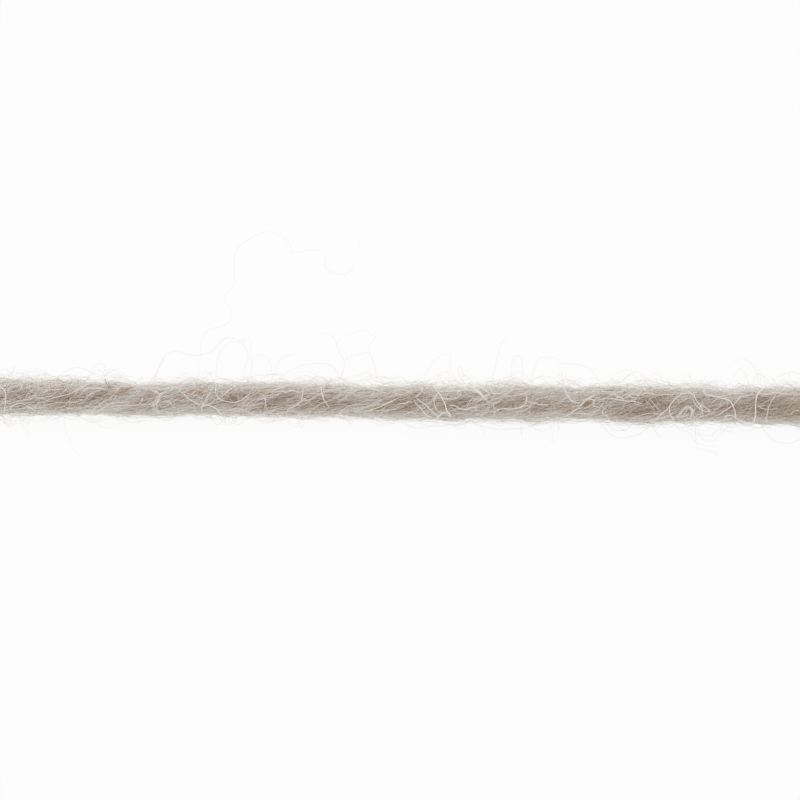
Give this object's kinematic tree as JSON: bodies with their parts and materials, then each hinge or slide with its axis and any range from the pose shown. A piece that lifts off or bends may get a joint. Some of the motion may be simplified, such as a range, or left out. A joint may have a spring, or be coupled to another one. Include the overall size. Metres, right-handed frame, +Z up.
{
  "type": "knitting yarn",
  "caption": "Straight cut length of soft plied knitting wool with raised twisted plies, lying on a flattened underside.",
  "frame": {"origin": "On the surface the strand lies on, under the middle of its length and width", "axes": "+Z up, +X along the strand, +Y across it"},
  "size_m": [0.048, 0.0022, 0.0019],
  "materials": {
    "undyed_wool": "matt undyed grey-beige wool"
  },
  "bodies": {
    "root": {"yarn_strand": "undyed_wool"}
  },
  "joints": []
}
